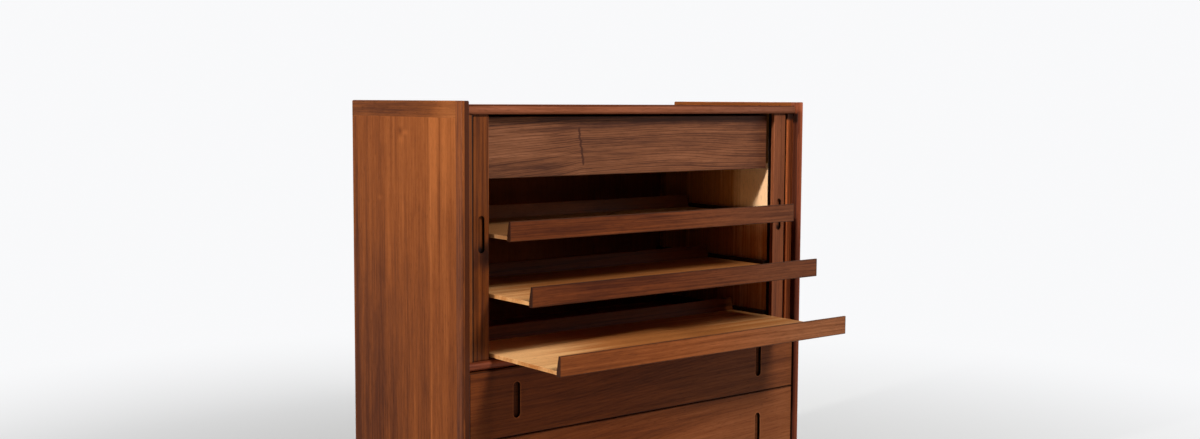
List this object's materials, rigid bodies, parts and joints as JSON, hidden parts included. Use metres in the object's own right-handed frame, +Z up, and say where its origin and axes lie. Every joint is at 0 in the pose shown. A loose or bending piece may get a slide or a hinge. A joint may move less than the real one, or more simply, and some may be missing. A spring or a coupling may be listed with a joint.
{
  "type": "tambour door chest",
  "caption": "Wooden chest with sliding tambour doors over wide slot-pull drawers; behind the doors are a shallow drawer and open lipped trays that slide out.",
  "frame": {"origin": "on the floor, mid width and mid depth of the case", "axes": "+X to the right seen from the front, +Y from front to back, +Z up"},
  "size_m": [1, 0.6785, 1.034],
  "materials": {
    "walnut": "satin oiled",
    "dark_walnut": "matt oiled",
    "maple": "satin lacquered",
    "drawer_wood": "matt waxed",
    "canvas": "woven, glued"
  },
  "bodies": {
    "case": {"left_side_panel": "walnut", "left_side_stile": "walnut", "left_side_rail": "walnut", "left_liner": "maple", "left_fixed_strip": "walnut", "left_top_drawer_runner": "dark_walnut", "left_bearer_1": "drawer_wood", "left_bearer_2": "drawer_wood", "left_tambour_slats": "walnut", "left_tambour_canvas": "canvas", "left_tray_runner_1": "dark_walnut", "left_tray_runner_2": "dark_walnut", "left_tray_runner_3": "dark_walnut", "right_side_panel": "walnut", "right_side_stile": "walnut", "right_side_rail": "walnut", "right_liner": "maple", "right_fixed_strip": "walnut", "right_top_drawer_runner": "dark_walnut", "right_bearer_1": "drawer_wood", "right_bearer_2": "drawer_wood", "right_tambour_slats": "walnut", "right_tambour_canvas": "canvas", "right_tray_runner_1": "dark_walnut", "right_tray_runner_2": "dark_walnut", "right_tray_runner_3": "dark_walnut", "top_board": "walnut", "divider_shelf": "walnut", "case_bottom": "walnut", "back_panel": "walnut", "front_kick": "dark_walnut", "back_kick": "dark_walnut", "centre_brace": "dark_walnut"},
    "left_door": {"left_door_stile": "walnut"},
    "right_door": {"right_door_stile": "walnut"},
    "top_drawer": {"top_drawer_front": "walnut", "top_drawer_left_side": "drawer_wood", "top_drawer_right_side": "drawer_wood", "top_drawer_back": "drawer_wood", "top_drawer_bottom": "drawer_wood"},
    "tray_1": {"tray_1_bottom": "maple", "tray_1_front_lip": "walnut", "tray_1_back_lip": "walnut"},
    "tray_2": {"tray_2_bottom": "maple", "tray_2_front_lip": "walnut", "tray_2_back_lip": "walnut"},
    "tray_3": {"tray_3_bottom": "maple", "tray_3_front_lip": "walnut", "tray_3_back_lip": "walnut"},
    "drawer_1": {"drawer_1_front": "walnut", "drawer_1_left_side": "drawer_wood", "drawer_1_right_side": "drawer_wood", "drawer_1_back": "drawer_wood", "drawer_1_bottom": "drawer_wood"},
    "drawer_2": {"drawer_2_front": "walnut", "drawer_2_left_side": "drawer_wood", "drawer_2_right_side": "drawer_wood", "drawer_2_back": "drawer_wood", "drawer_2_bottom": "drawer_wood"}
  },
  "joints": [
    {"name": "left_door_slide", "type": "slide", "parent": "case", "child": "left_door", "axis": [-1, 0, 0], "range_m": [-0.42, 0], "deforming": ["left_door_stile", "left_tambour_slats", "left_tambour_canvas"]},
    {"name": "right_door_slide", "type": "slide", "parent": "case", "child": "right_door", "axis": [1, 0, 0], "range_m": [-0.42, 0], "deforming": ["right_door_stile", "right_tambour_slats", "right_tambour_canvas"]},
    {"name": "top_drawer_slide", "type": "slide", "parent": "case", "child": "top_drawer", "axis": [0, -1, 0], "range_m": [0, 0.28]},
    {"name": "tray_1_slide", "type": "slide", "parent": "case", "child": "tray_1", "axis": [0, -1, 0], "range_m": [-0.084, 0.191]},
    {"name": "tray_2_slide", "type": "slide", "parent": "case", "child": "tray_2", "axis": [0, -1, 0], "range_m": [-0.161, 0.114]},
    {"name": "tray_3_slide", "type": "slide", "parent": "case", "child": "tray_3", "axis": [0, -1, 0], "range_m": [-0.254, 0.021]},
    {"name": "drawer_1_slide", "type": "slide", "parent": "case", "child": "drawer_1", "axis": [0, -1, 0], "range_m": [0, 0.3]},
    {"name": "drawer_2_slide", "type": "slide", "parent": "case", "child": "drawer_2", "axis": [0, -1, 0], "range_m": [0, 0.3]}
  ]
}
